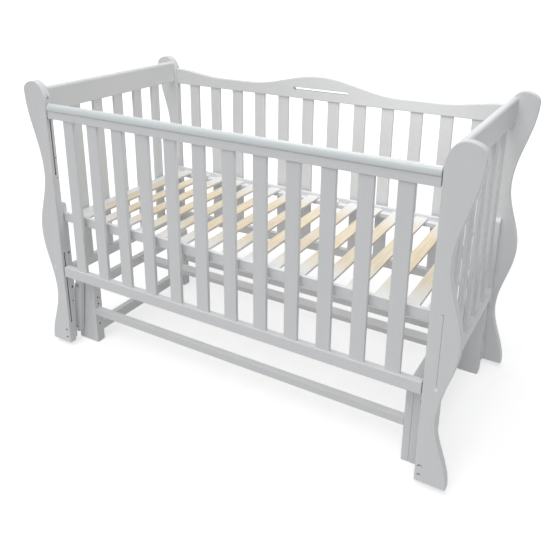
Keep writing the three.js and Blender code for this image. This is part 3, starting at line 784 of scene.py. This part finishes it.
def post(corner, side_x, side_y):
    """One wavy post with the holes at its foot."""
    shape = bpy.context.scene.crib_shape
    centre_y = side_y * POST_CENTRE_Y
    half = POST_THICKNESS / 2
    face = centre_y + side_y * half
    outline = [(side_x * (POST_EDGE_X + out), CRIB_GAP + up) for out, up in post_outline()]
    made = prism("post_" + corner, outline, "y", centre_y - half, centre_y + half)
    round_edges(made, shape.post_edge, shape.edge_steps)
    hole_radius, hole_depth = 5.4 * MM, 15 * MM
    for height in FOOT_HOLES:
        hole = circle(hole_radius, (side_x * (POST_EDGE_X + FOOT_INSET), CRIB_GAP + height), 28)
        cut_from(made, hole, "y", face - side_y * hole_depth, face + side_y * OVERCUT)
    if side_y < 0:
        cut_guides(made, side_x, centre_y)
    finish = hairline_paint() if corner == "front_right" else paint("z")
    dress(made, finish, "crib", "white_paint", "post_" + corner)


def foot_screws(side, side_y):
    """Painted screws in the foot holes, a little under the face and below the holes' middles."""
    face = side_y * (POST_CENTRE_Y + POST_THICKNESS / 2)
    sunk, lowered = 3 * MM, 5 * MM
    points = [(side_x * (POST_EDGE_X + FOOT_INSET), face - side_y * sunk, CRIB_GAP + height - lowered)
              for _, side_x in ENDS for height in FOOT_HOLES]
    fittings("foot_screws_" + side, points, (4.6 * MM, 2.3 * MM), (1.1 * MM, 0.9 * MM, 4), side_y,
             paint("x"), "white_paint", "crib")


def screw_caps(side, side_y):
    """Domed caps over the screws through the posts."""
    face = side_y * (POST_CENTRE_Y + POST_THICKNESS / 2)
    places = [((side_x * (POST_EDGE_X + SCREW_CAP_INSET), face, CRIB_GAP + SCREW_CAP_HEIGHT), side_y)
              for _, side_x in ENDS]
    dome = [(4.6, -1), (4.6, 0.3), (4.1, 0.75), (3.1, 1.02), (1.8, 1.15), (0.6, 1.19)]
    dress(turned("screw_caps_" + side, dome, places, "y"), plastic(), "crib", "gloss_paint",
          smooth_angle=60)


def catch_plates():
    """Flush round plates with a hole, where the drop side's catches spring in."""
    places = [((side_x * POST_EDGE_X, -POST_CENTRE_Y, CRIB_GAP + CATCH_HEIGHT), -side_x)
              for _, side_x in ENDS]
    ring = [(6.5, -5.5), (6.5, 0.15), (6.2, 0.4), (2.6, 0.4), (2.3, 0.1), (2.3, -4.5)]
    dress(turned("catch_plates", ring, places, "x"), paint("z"), "crib", "white_paint", smooth_angle=50)


class CRIB_OT_posts(bpy.types.Operator):
    """Builds the four wavy posts with their caps, screws and catch plates"""

    bl_idname = "crib.posts"
    bl_label = "Posts"

    def execute(self, context):
        for corner, side_x, side_y in CORNERS:
            post(corner, side_x, side_y)
        for side, side_y in SIDES:
            foot_screws(side, side_y)
            screw_caps(side, side_y)
        catch_plates()
        return {"FINISHED"}


# Battens


def batten(corner, side_x, side_y):
    """The stick behind a post, thinned to a tongue at its foot, with its bolt holes."""
    half_width = 11 * MM
    inner, outer = side_x * (FOOT_PIVOT[0] - half_width), side_x * (FOOT_PIVOT[0] + half_width)
    foot, tongue_top, full_from, shoulder, top = 8, 62, 215, 482, 495
    tongue, depth = 10, 20
    rounding = top - shoulder
    outline = [(0, foot), (tongue, foot), (tongue, tongue_top), (depth, full_from), (depth, shoulder)]
    outline += arc((depth - rounding, shoulder), (rounding, rounding), 0, 90, 8)[1:] + [(0, top)]
    outline = [(side_y * (BATTEN_FRONT_Y - inwards), CRIB_GAP + up) for inwards, up in scaled(outline)]
    made = prism("batten_" + corner, outline, "x", *sorted((inner, outer)))
    round_edges(made, bpy.context.scene.crib_shape.board_edge, 3, 40)
    # Two bolt holes for lower beds and a small hole below them
    for inwards, height, radius in ((10, 195, 4), (10, 320, 4), (6, 145, 2.5)):
        hole = circle(radius * MM, (side_y * (BATTEN_FRONT_Y - inwards * MM), CRIB_GAP + height * MM), 20)
        cut_from(made, hole, "x", inner - side_x * OVERCUT, outer + side_x * OVERCUT)
    dress(made, paint("z"), "crib", "white_paint", "batten_" + corner)


def foot_pivot(corner, side_x, side_y):
    """The pin in a batten's foot, with its collar and its nut."""
    x, z = FOOT_PIVOT
    collar = [(8.2, 9), (9, 10), (9, 21.3), (8.6, 21.7)]
    pin = [(4, 21.7), (4, 35.2)]
    nut = [(7, 35.2), (7, 38.6), (6.4, 39.2)]
    place = ((side_x * x, side_y * BATTEN_FRONT_Y, z), -side_y)
    made = turned("foot_pivot_" + corner, collar + pin + nut, [place], "y")
    dress(made, zinc(), "crib", "zinc_steel", "batten_" + corner)


class CRIB_OT_battens(bpy.types.Operator):
    """Builds the battens behind the posts and their foot pivots"""

    bl_idname = "crib.battens"
    bl_label = "Battens"

    def execute(self, context):
        for corner, side_x, side_y in CORNERS:
            batten(corner, side_x, side_y)
            foot_pivot(corner, side_x, side_y)
        return {"FINISHED"}


# Drop side


def drop_cap(half, seat):
    """The glossy half-round cap along the drop side's top rail."""
    section = [(-12, 0), (12, 0)] + arc((0, 3), (13, 17.5), 0, 180, 36)
    outline = [(across - POST_CENTRE_Y, seat + up) for across, up in scaled(section)]
    made = prism("drop_cap", outline, "x", -half, half)
    round_edges(made, 0.5 * MM, 2, 50)
    dress(made, lacquer(), "drop_side", "gloss_paint", "drop_side_cap")


def guide_pins(half):
    """Pins at the drop side's ends, which run in the posts' grooves."""
    places = [((side_x * half, -POST_CENTRE_Y, CRIB_GAP + height), side_x)
              for _, side_x in ENDS for height in (LOW_PIN, HIGH_PIN)]
    made = turned("guide_pins", [(1.8, -2), (1.8, 7.2), (1.4, 8)], places, "x", 20)
    dress(made, zinc(), "drop_side", "zinc_steel", "drop_side_panel", "drop_side_top_rail")


class CRIB_OT_drop_side(bpy.types.Operator):
    """Builds the drop side: low rail, slats, top rail, half-round cap and guide pins"""

    bl_idname = "crib.drop_side"
    bl_label = "Drop side"

    def execute(self, context):
        shape = context.scene.crib_shape
        half = 594 * MM
        centre_y = -POST_CENTRE_Y
        front, back = centre_y - RAIL_HALF, centre_y + RAIL_HALF
        low, low_height = CRIB_GAP + 248 * MM, 35 * MM
        rail, rail_height = CRIB_GAP + 772 * MM, 24.5 * MM
        board("drop_low_rail", (-half, front, low), (half, back, low + low_height), shape.rail_edge, "x",
              "drop_side", "drop_side_panel")
        first = half - SLAT_MARGIN
        reach = low + low_height - SLAT_ROOT, rail + SLAT_TOP_ROOT
        upright_slats("drop_slats", (-first, centre_y), (first, centre_y), 12, reach, 0, "drop_side",
                      "drop_side_panel", 3)
        board("drop_top_rail", (-half, front, rail), (half, back, rail + rail_height), shape.board_edge, "x",
              "drop_side", "drop_side_top_rail")
        glue_gap = 0.3 * MM
        drop_cap(half, rail + rail_height + glue_gap)
        guide_pins(half)
        return {"FINISHED"}


# Back panel


def crest_outline(half, foot):
    """(along, up) points of the back's top rail, from the middle and the posts' feet, in mm."""
    crest, end_height = 862, 838
    saddle, saddle_from, saddle_to = 820, 275, 400
    wave = waved([(0, crest), (saddle_from, saddle), (saddle_to, saddle), (half, end_height)], 20)
    wave = [(along, height) for along, height in wave if along <= saddle_from or along >= saddle_to]
    return ([(-half, foot), (half, foot)] + list(reversed(wave))
            + [(-along, height) for along, height in wave[1:]])


class CRIB_OT_back(bpy.types.Operator):
    """Builds the back panel: crested top rail with its slot, slats and low rail"""

    bl_idname = "crib.back"
    bl_label = "Back panel"

    def execute(self, context):
        shape = context.scene.crib_shape
        half, rail_foot = 596.7, 783
        slot_half, slot_height, slot_radius = 97.5, 815.5, 4.5
        centre_y = POST_CENTRE_Y
        front, back = centre_y - RAIL_HALF, centre_y + RAIL_HALF
        outline = [(along, CRIB_GAP + up) for along, up in scaled(crest_outline(half, rail_foot))]
        rail = prism("back_top_rail_shaped", outline, "y", front, back)
        round_edges(rail, shape.rail_edge, shape.edge_steps)
        slot = slot_outline(slot_radius, (-slot_half, slot_height), (slot_half, slot_height), 10)
        slot = [(along, CRIB_GAP + up) for along, up in scaled(slot)]
        cut_from(rail, slot, "y", front - OVERCUT, back + OVERCUT)
        dress(rail, paint("x"), "crib", "white_paint", "back_top_rail")
        end, low = half * MM, CRIB_GAP + LOW_RAIL_FOOT
        board("back_low_rail", (-end, front, low), (end, back, low + LOW_RAIL_HEIGHT), shape.rail_edge, "x",
              "crib", "back_panel")
        first = end - SLAT_MARGIN
        reach = low + LOW_RAIL_HEIGHT - SLAT_ROOT, CRIB_GAP + rail_foot * MM + SLAT_TOP_ROOT
        upright_slats("back_slats", (-first, centre_y), (first, centre_y), 12, reach, 0, "crib",
                      "back_panel", 11)
        screw_x, screw_heights, sunk = 568 * MM, (804 * MM, 818 * MM), 0.2 * MM
        points = [(side_x * screw_x, front + sunk, z) for _, side_x in ENDS for z in screw_heights]
        fittings("back_screws", points, (2.4 * MM, 0.9 * MM), (1.2 * MM, 0.7 * MM, 4), -1, zinc(),
                 "zinc_steel", "crib")
        return {"FINISHED"}


# End panels


def end_top_rail(end):
    """An end's top rail, with its two upper edges well rounded."""
    low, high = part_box("end_top_rail_" + end)
    middle, half = (low.x + high.x) / 2, (high.x - low.x) / 2
    radius = 9 * MM
    top = high.z - radius
    section = ([(middle - half, low.z), (middle + half, low.z)]
               + arc((middle + half - radius, top), (radius, radius), 0, 90, 10)
               + arc((middle - half + radius, top), (radius, radius), 90, 180, 10))
    made = prism("end_rail_" + end, section, "y", low.y, high.y)
    round_edges(made, 2 * MM, bpy.context.scene.crib_shape.edge_steps, 50)
    dress(made, paint("y"), "crib", "white_paint", "end_top_rail_" + end)


class CRIB_OT_ends(bpy.types.Operator):
    """Builds the two end panels: round-topped rails, slats and low rails"""

    bl_idname = "crib.ends"
    bl_label = "End panels"

    def execute(self, context):
        rail_reach, slat_reach = 276.9 * MM, 192 * MM
        base = CRIB_GAP + LOW_RAIL_FOOT
        for end, _ in ENDS:
            end_top_rail(end)
            low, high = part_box("end_top_rail_" + end)
            middle = (low.x + high.x) / 2
            board("end_low_rail_" + end, (low.x, -rail_reach, base),
                  (high.x, rail_reach, base + LOW_RAIL_HEIGHT),
                  context.scene.crib_shape.rail_edge, "y", "crib", "end_panel_" + end)
            reach = base + LOW_RAIL_HEIGHT - SLAT_ROOT, low.z + SLAT_TOP_ROOT
            upright_slats("end_slats_" + end, (middle, -slat_reach), (middle, slat_reach), 5, reach, 90,
                          "crib", "end_panel_" + end, 21)
        return {"FINISHED"}


# Bed


class CRIB_OT_bed(bpy.types.Operator):
    """Builds the bed: rails with a ledge and fifteen loose slats"""

    bl_idname = "crib.bed"
    bl_label = "Bed"

    def execute(self, context):
        shape = context.scene.crib_shape
        outer_face = 292.5 * MM
        height, ledge_height, width, rim_width = 30, 14, 30, 12
        section = [(0, 0), (width, 0), (width, ledge_height), (rim_width, ledge_height), (rim_width, height),
                   (0, height)]
        for side, side_y in SIDES:
            low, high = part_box("bed_rail_" + side)
            outline = [(side_y * (outer_face - inwards), low.z + up) for inwards, up in scaled(section)]
            rail = prism("bed_side_" + side, outline, "x", low.x, high.x)
            round_edges(rail, shape.board_edge, 3, 50)
            dress(rail, paint("x"), "crib", "white_paint", "bed_rail_" + side)
        for end, _ in ENDS:
            low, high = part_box("bed_rail_" + end)
            board("bed_end_" + end, low, high, shape.board_edge, "y", "crib", "bed_rail_" + end)
        names = ["bed_slat_%02d" % number for number in range(1, 16)]
        first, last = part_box(names[0]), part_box(names[-1])
        size = first[1] - first[0]
        slat_row("bed_slats", (first[0] + first[1]) / 2, (last[0] + last[1]) / 2, len(names),
                 (size.x, size.z, size.y), (math.radians(90), 0, 0), birch(), "bare_wood", "crib", *names,
                 edge=shape.bed_slat_edge, seed=7)
        return {"FINISHED"}


# Swing base


def leg(corner, side_x, side_y):
    """A leg board with rounded corners, bored for the link's pivot bolt."""
    low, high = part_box("base_leg_" + corner)
    foot, top = 5 * MM, 3.5 * MM  # corner radii
    outline = (arc((low.x + foot, low.z + foot), (foot, foot), 180, 270, 6)
               + arc((high.x - foot, low.z + foot), (foot, foot), 270, 360, 6)
               + arc((high.x - top, high.z - top), (top, top), 0, 90, 5)
               + arc((low.x + top, high.z - top), (top, top), 90, 180, 5))
    made = prism("leg_" + corner, outline, "y", low.y, high.y)
    round_edges(made, bpy.context.scene.crib_shape.board_edge, 3, 50)
    outer = low.y if side_y < 0 else high.y
    bore_depth = 21 * MM
    bore = circle(BOLT_BORE, (side_x * PIVOT[0], PIVOT[1]), 20)
    cut_from(made, bore, "y", outer + side_y * OVERCUT, outer - side_y * bore_depth)
    dress(made, paint("z"), "base", "white_paint", "base_leg_" + corner)


def upright(corner, side_x):
    """The upright behind a leg, with three holes in its face towards the crib's middle."""
    low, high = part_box("base_upright_" + corner)
    made = block("upright_" + corner, low, high, bpy.context.scene.crib_shape.board_edge, 3)
    inner = low.x if side_x > 0 else high.x
    hole_radius, hole_depth = 3.5 * MM, 10 * MM
    for height in (66 * MM, 141 * MM, 165 * MM):
        hole = circle(hole_radius, ((low.y + high.y) / 2, height), 18)
        cut_from(made, hole, "x", inner - side_x * OVERCUT, inner + side_x * hole_depth)
    dress(made, paint("z"), "base", "white_paint", "base_upright_" + corner)


class CRIB_OT_base(bpy.types.Operator):
    """Builds the swing base: leg boards, uprights, cross boards, bars and the stretcher"""

    bl_idname = "crib.base"
    bl_label = "Swing base"

    def execute(self, context):
        for corner, side_x, side_y in CORNERS:
            leg(corner, side_x, side_y)
            upright(corner, side_x)
        crosses = [("cross_%s_%s" % (level, end), "y") for end, _ in ENDS for level in ("low", "high")]
        for name, grain in crosses + [("bar_front", "x"), ("bar_back", "x"), ("stretcher", "x")]:
            low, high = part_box("base_" + name)
            board(name, low, high, context.scene.crib_shape.board_edge, grain, "base", "base_" + name)
        return {"FINISHED"}


# Links


def pivots_of(side_x):
    """The upper and the lower pivot of a link, as (x, z)."""
    return [Vector((side_x * x, z)) for x, z in (PIVOT, FOOT_PIVOT)]


def swing_link(corner, side_x, side_y, outer, inner):
    """A link: a slanted board with round ends, bored and sunk for the bolt's head and the pivot's nut."""
    top, foot = pivots_of(side_x)
    body = "swing_link_" + corner
    end_radius = 14.5 * MM
    made = prism(body, slot_outline(end_radius, top, foot, 18), "y", *sorted((outer, inner)))
    round_edges(made, 2 * MM, 4, 50)
    # All links but the first have room for the swing's small error
    loose = (0.3 if corner == "front_left" else 1.3) * MM
    through, sunk = 19 * MM, 5.4 * MM
    pin_radius, head_seat, nut_seat = 4 * MM, 7.6 * MM, 7.6 * MM
    for centre, radius, face, depth in ((top, BOLT_BORE, outer, through), (top, head_seat, outer, sunk),
                                        (foot, pin_radius + loose, outer, through),
                                        (foot, nut_seat + loose, inner, -sunk)):
        start = face + math.copysign(OVERCUT, depth) * side_y
        cut_from(made, circle(radius, centre, 28), "y", start, face - depth * side_y)
    dress(made, paint("z"), body, "white_paint", "link_" + corner)


def pivot_bolt(corner, side_x, side_y, outer):
    """The bolt that holds a link in its leg, with a six-sided socket."""
    top, _ = pivots_of(side_x)
    head = [(6.4, 0.8), (7, 1.4), (7, 4.8)]
    shank = [(4, 4.8), (4, 39), (3.2, 40)]
    made = turned("bolt_" + corner, head + shank, [((top.x, outer, top.y), -side_y)], "y")
    socket_radius, socket_depth = 2.9 * MM, 3.2 * MM
    cut_from(made, circle(socket_radius, top, 6), "y", outer + side_y * OVERCUT,
             outer - side_y * socket_depth)
    dress(made, zinc(), "base", "zinc_steel", "pivot_bolt_" + corner)


class CRIB_OT_links(bpy.types.Operator):
    """Builds the four swing links and their pivot bolts"""

    bl_idname = "crib.links"
    bl_label = "Swing links"

    def execute(self, context):
        for corner, side_x, side_y in CORNERS:
            outer, inner = side_y * LINK_FACES[0], side_y * LINK_FACES[1]
            swing_link(corner, side_x, side_y, outer, inner)
            pivot_bolt(corner, side_x, side_y, outer)
        return {"FINISHED"}


# Stage


def lamp(name, kind, power, place, target):
    """A white lamp that looks at a point and isn't seen itself."""
    data = bpy.data.lights.new(name, kind)
    data.energy = power
    made = bpy.data.objects.new(name, data)
    made.location = place
    made.rotation_euler = (Vector(target) - Vector(place)).to_track_quat("-Z", "Y").to_euler()
    made.visible_camera = False
    bpy.context.scene.collection.objects.link(made)
    return data


def soft_lamp(name, power, size, place, target):
    """A flat lamp of size (width, depth)."""
    data = lamp(name, "AREA", power, place, target)
    data.shape = "RECTANGLE"
    data.size, data.size_y = size


def seen_directly(tree):
    """A value that is 1 for rays from the camera, from mirrors and through glass, and else 0."""
    path = node(tree, "ShaderNodeLightPath").outputs
    mirrored = worked(tree, "MAXIMUM", path["Is Camera Ray"], path["Is Glossy Ray"])
    return worked(tree, "MAXIMUM", mirrored, path["Is Transmission Ray"])


def white_surroundings(strength):
    """A world that lights softly, less from the right, and is seen as pure white."""
    world = bpy.data.worlds.new("surroundings")
    world.use_nodes = True
    tree = world.node_tree
    tree.nodes.clear()
    falling = span(tree, split_place(tree, "Generated")["X"], -1, 1, strength * 1.5, strength * 0.5)
    sky = node(tree, "ShaderNodeBackground", {"Color": (0.97, 0.985, 1.0, 1), "Strength": falling})
    white = node(tree, "ShaderNodeBackground", {"Color": (1, 1, 1, 1), "Strength": 1.0})
    mix = node(tree, "ShaderNodeMixShader", {
        "Fac": seen_directly(tree), 1: sky.outputs[0], 2: white.outputs[0]})
    node(tree, "ShaderNodeOutputWorld", {"Surface": mix.outputs[0]})
    return world


def pale_floor():
    """A floor that is seen as white and keeps a faint shadow."""
    bm = bmesh.new()
    bmesh.ops.create_grid(bm, x_segments=8, y_segments=8, size=9)
    floor = object_of("floor", bm)
    if floor.data.polygons[0].normal.z < 0:
        floor.data.flip_normals()
    material = bpy.data.materials.new("pale_floor")
    material.use_nodes = True
    tree = material.node_tree
    tree.nodes.clear()
    matt = node(tree, "ShaderNodeBsdfDiffuse", {"Color": (0.62, 0.62, 0.62, 1)})
    place = node(tree, "ShaderNodeTexCoord")
    away = node(tree, "ShaderNodeVectorMath", {0: place.outputs["Object"]}, operation="LENGTH")
    near, far = 1.2, 3.5  # metres from the crib's middle
    brighter = span(tree, away.outputs["Value"], near, far, 0.56, 0.9)
    glow = node(tree, "ShaderNodeEmission", {
        "Strength": worked(tree, "MULTIPLY", brighter, seen_directly(tree))})
    lit = node(tree, "ShaderNodeAddShader", {0: matt.outputs[0], 1: glow.outputs[0]})
    node(tree, "ShaderNodeOutputMaterial", {"Surface": lit.outputs[0]})
    floor.data.materials.append(material)


def photo_camera(lens):
    """The camera, placed and turned as the one that took the photo."""
    data = bpy.data.cameras.new("camera")
    data.sensor_width = 36
    data.lens = lens
    data.shift_y = CAMERA_SHIFT
    data.clip_end = 60
    camera = linked("camera", data)
    pan, tilt, roll = (math.radians(angle) for angle in CAMERA_TURN)
    turn = Matrix.Rotation(pan, 4, "Z") @ Matrix.Rotation(tilt, 4, "X") @ Matrix.Rotation(roll, 4, "Z")
    camera.matrix_world = Matrix.Translation(CAMERA_PLACE) @ turn
    return camera


class CRIB_OT_stage(bpy.types.Operator):
    """Builds the floor, the lamps, the surroundings and the camera"""

    bl_idname = "crib.stage"
    bl_label = "Stage"

    def execute(self, context):
        studio = context.scene.crib_studio
        context.scene.world = white_surroundings(studio.sky)
        pale_floor()
        soft_lamp("top_lamp", studio.top_light, size=(2.4, 2.0), place=(-0.1, 0.1, 3.0),
                  target=(-0.1, 0.1, 0))
        soft_lamp("side_lamp", studio.side_light, size=(0.4, 0.4), place=(0.45, 0, 1.25),
                  target=(-0.6, 0, 0.65))
        front = lamp("front_light", "SUN", studio.front_light, place=(0.2, -3.0, 4.8), target=(0, 0, 0))
        front.angle = math.radians(45)
        context.scene.camera = photo_camera(studio.lens)
        context.scene.view_settings.view_transform = "Standard"
        return {"FINISHED"}


class CRIB_PT_panel(bpy.types.Panel):
    """Sizes, finishes and steps of the crib"""

    bl_idname = "CRIB_PT_panel"
    bl_label = "Rocking Crib"
    bl_space_type = "VIEW_3D"
    bl_region_type = "UI"
    bl_category = "Crib"

    def draw(self, context):
        column = self.layout.column()
        for group in (context.scene.crib_shape, context.scene.crib_finish, context.scene.crib_studio):
            for name in group.__annotations__:
                column.prop(group, name)
            column.separator()
        for step in STEPS:
            column.operator(step.bl_idname)


GROUPS = [("crib_shape", CribShape), ("crib_finish", CribFinish), ("crib_studio", CribStudio)]
STEPS = [CRIB_OT_posts, CRIB_OT_battens, CRIB_OT_drop_side, CRIB_OT_back, CRIB_OT_ends, CRIB_OT_bed,
         CRIB_OT_base, CRIB_OT_links, CRIB_OT_stage]


def register():
    for name, group in GROUPS:
        bpy.utils.register_class(group)
        setattr(bpy.types.Scene, name, bpy.props.PointerProperty(type=group))
    for step in STEPS:
        bpy.utils.register_class(step)
    bpy.utils.register_class(CRIB_PT_panel)


def unregister():
    bpy.utils.unregister_class(CRIB_PT_panel)
    for step in reversed(STEPS):
        bpy.utils.unregister_class(step)
    for name, group in reversed(GROUPS):
        delattr(bpy.types.Scene, name)
        bpy.utils.unregister_class(group)


def main():
    register()
    bpy.ops.crib.posts()
    bpy.ops.crib.battens()
    bpy.ops.crib.drop_side()
    bpy.ops.crib.back()
    bpy.ops.crib.ends()
    bpy.ops.crib.bed()
    bpy.ops.crib.base()
    bpy.ops.crib.links()
    bpy.ops.crib.stage()


if __name__ == "__main__":
    main()
